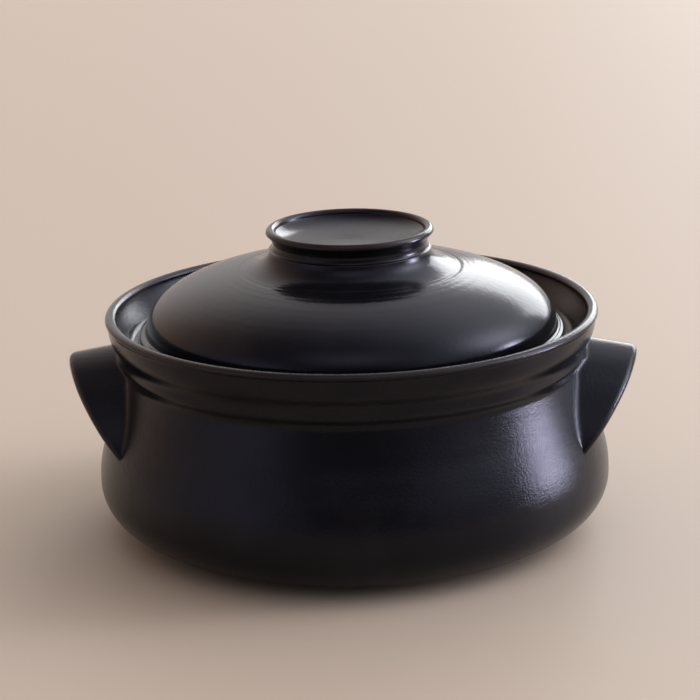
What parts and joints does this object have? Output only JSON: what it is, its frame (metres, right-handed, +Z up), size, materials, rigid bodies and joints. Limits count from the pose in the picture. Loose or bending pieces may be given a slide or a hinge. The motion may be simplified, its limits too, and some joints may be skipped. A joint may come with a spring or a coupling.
{
  "type": "ceramic cooking pot",
  "caption": "Lidded stoneware casserole with a bellied body, collar rim, hooded ear handles and a loose domed lid with a dished knob.",
  "frame": {"origin": "on the pot's axis at the level of the foot ring's flat face", "axes": "+Z up along the pot's axis, X through the two ear handles"},
  "size_m": [0.2794, 0.2518, 0.1486],
  "materials": {
    "pot_glaze": "satin black glaze over stoneware, bare tan clay on the foot ring",
    "lid_glaze": "semi-gloss black glaze over stoneware"
  },
  "bodies": {
    "pot": {"pot_body": "pot_glaze", "handle_left": "pot_glaze", "handle_right": "pot_glaze"},
    "lid": {"lid_dome": "lid_glaze", "lid_knob": "lid_glaze"}
  },
  "joints": [
    {"name": "lid_lift", "type": "slide", "parent": "pot", "child": "lid", "axis": [0, 0, 1], "range_m": [0, 0.1]}
  ]
}
